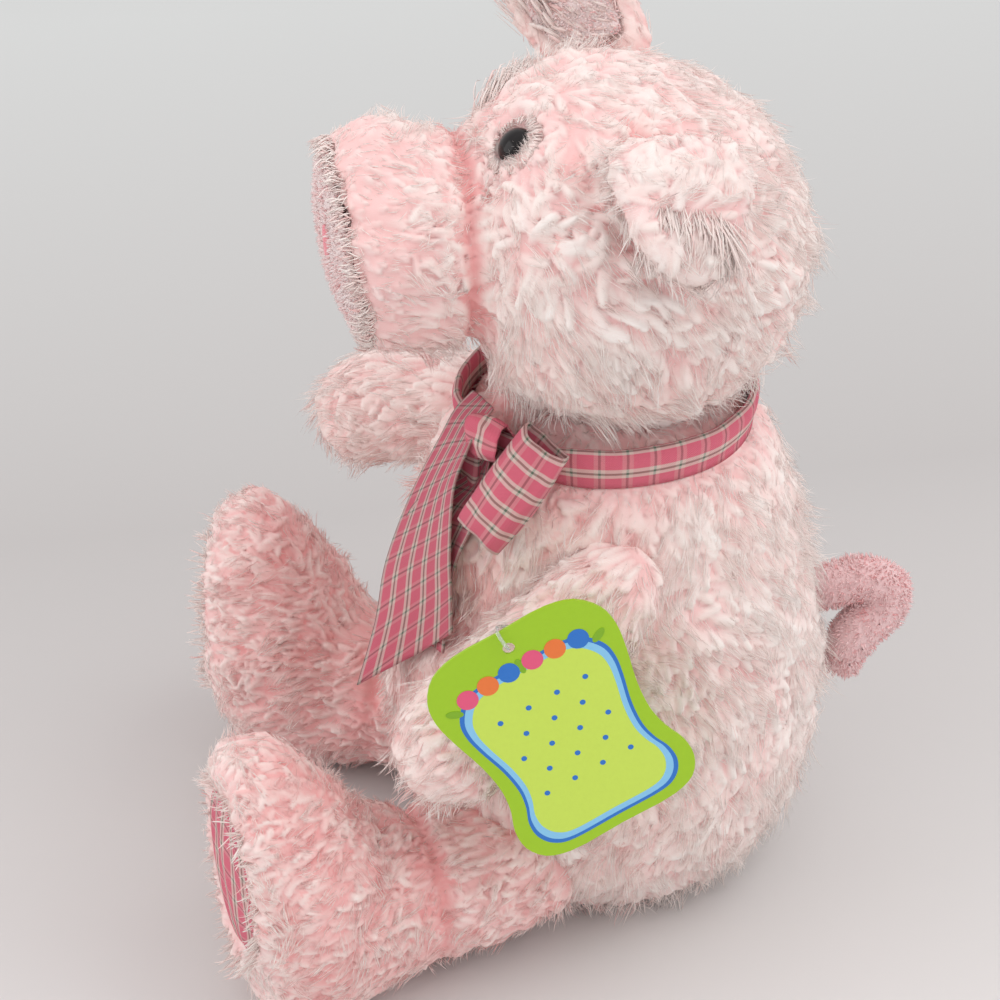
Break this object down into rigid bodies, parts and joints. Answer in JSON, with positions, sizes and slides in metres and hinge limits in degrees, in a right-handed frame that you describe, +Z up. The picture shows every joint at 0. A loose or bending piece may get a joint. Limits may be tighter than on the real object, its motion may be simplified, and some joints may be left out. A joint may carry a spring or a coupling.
{
  "type": "plush pig",
  "caption": "Seated long-pile plush pig with a checked ribbon tied in a bow round its neck, checked soles and a card tag on its arm",
  "frame": {"origin": "the middle of the flat under the body that the pig sits on", "axes": "+Z up, the pig faces -Y, its left side is +X"},
  "size_m": [0.1736, 0.21, 0.2779],
  "materials": {
    "long_plush": "long, soft pile, pale pink",
    "velour": "short pile, pink",
    "stuffing": "loose polyester fibre",
    "checked_cloth": "woven checks in rose, cream and green",
    "thread": "satin stitch",
    "black_plastic": "glossy",
    "white_plastic": "moulded",
    "clear_plastic": "clear, moulded",
    "card": "coated card, printed"
  },
  "bodies": {
    "torso": {"body_cover": "long_plush", "body_stuffing": "stuffing", "neck_ribbon": "checked_cloth", "bow_knot": "checked_cloth", "bow_loop_left": "checked_cloth", "bow_loop_right": "checked_cloth", "bow_tail_left": "checked_cloth", "bow_tail_right": "checked_cloth"},
    "head": {"head_cover": "long_plush", "muzzle_cover": "long_plush", "head_stuffing": "stuffing", "snout_pad": "velour", "nostril_left": "thread", "nostril_right": "thread", "eye_left": "black_plastic", "eye_right": "black_plastic", "eye_washer_left": "white_plastic", "eye_washer_right": "white_plastic"},
    "left_ear": {"ear_left": "long_plush", "ear_lining_left": "velour"},
    "right_ear": {"ear_right": "long_plush", "ear_lining_right": "velour"},
    "left_arm": {"arm_left": "long_plush", "arm_stuffing_left": "stuffing"},
    "right_arm": {"arm_right": "long_plush", "arm_stuffing_right": "stuffing"},
    "left_leg": {"leg_left": "long_plush", "leg_stuffing_left": "stuffing", "sole_patch_left": "checked_cloth"},
    "right_leg": {"leg_right": "long_plush", "leg_stuffing_right": "stuffing", "sole_patch_right": "checked_cloth"},
    "curled_tail": {"tail": "velour"},
    "card": {"hang_tag": "card", "tag_fastener": "clear_plastic"}
  },
  "joints": [
    {"name": "head_turn", "type": "hinge", "parent": "torso", "child": "head", "pos_m": [0, 0, 0.206], "axis": [0, 0, 1], "range_deg": [-20, 20], "stiffness_Nm_per_rad": 0.05},
    {"name": "left_ear_lift", "type": "hinge", "parent": "head", "child": "left_ear", "pos_m": [0.027, 0.008, 0.243], "axis": [0, -1, 0], "range_deg": [0, 60], "stiffness_Nm_per_rad": 0.01},
    {"name": "right_ear_fall", "type": "hinge", "parent": "head", "child": "right_ear", "pos_m": [-0.027, 0.008, 0.243], "axis": [0, -1, 0], "range_deg": [0, 35], "stiffness_Nm_per_rad": 0.01},
    {"name": "left_arm_swing", "type": "hinge", "parent": "torso", "child": "left_arm", "pos_m": [0.046, -0.002, 0.131], "axis": [1, 0, 0], "range_deg": [-35, 0]},
    {"name": "right_arm_swing", "type": "hinge", "parent": "torso", "child": "right_arm", "pos_m": [-0.046, -0.002, 0.131], "axis": [1, 0, 0], "range_deg": [-20, 35]},
    {"name": "left_leg_splay", "type": "hinge", "parent": "torso", "child": "left_leg", "pos_m": [0.034, -0.027, 0], "axis": [0, 0, 1], "range_deg": [-8, 12]},
    {"name": "right_leg_splay", "type": "hinge", "parent": "torso", "child": "right_leg", "pos_m": [-0.034, -0.027, 0], "axis": [0, 0, 1], "range_deg": [-12, 8]},
    {"name": "tail_swing", "type": "hinge", "parent": "torso", "child": "curled_tail", "pos_m": [0, 0.0615, 0.086], "axis": [0, 0, 1], "range_deg": [-20, 20], "stiffness_Nm_per_rad": 0.005},
    {"name": "tag_swing", "type": "hinge", "parent": "left_arm", "child": "card", "pos_m": [0.0575, -0.03, 0.1225], "axis": [0, -1, 0], "range_deg": [0, 45]}
  ]
}
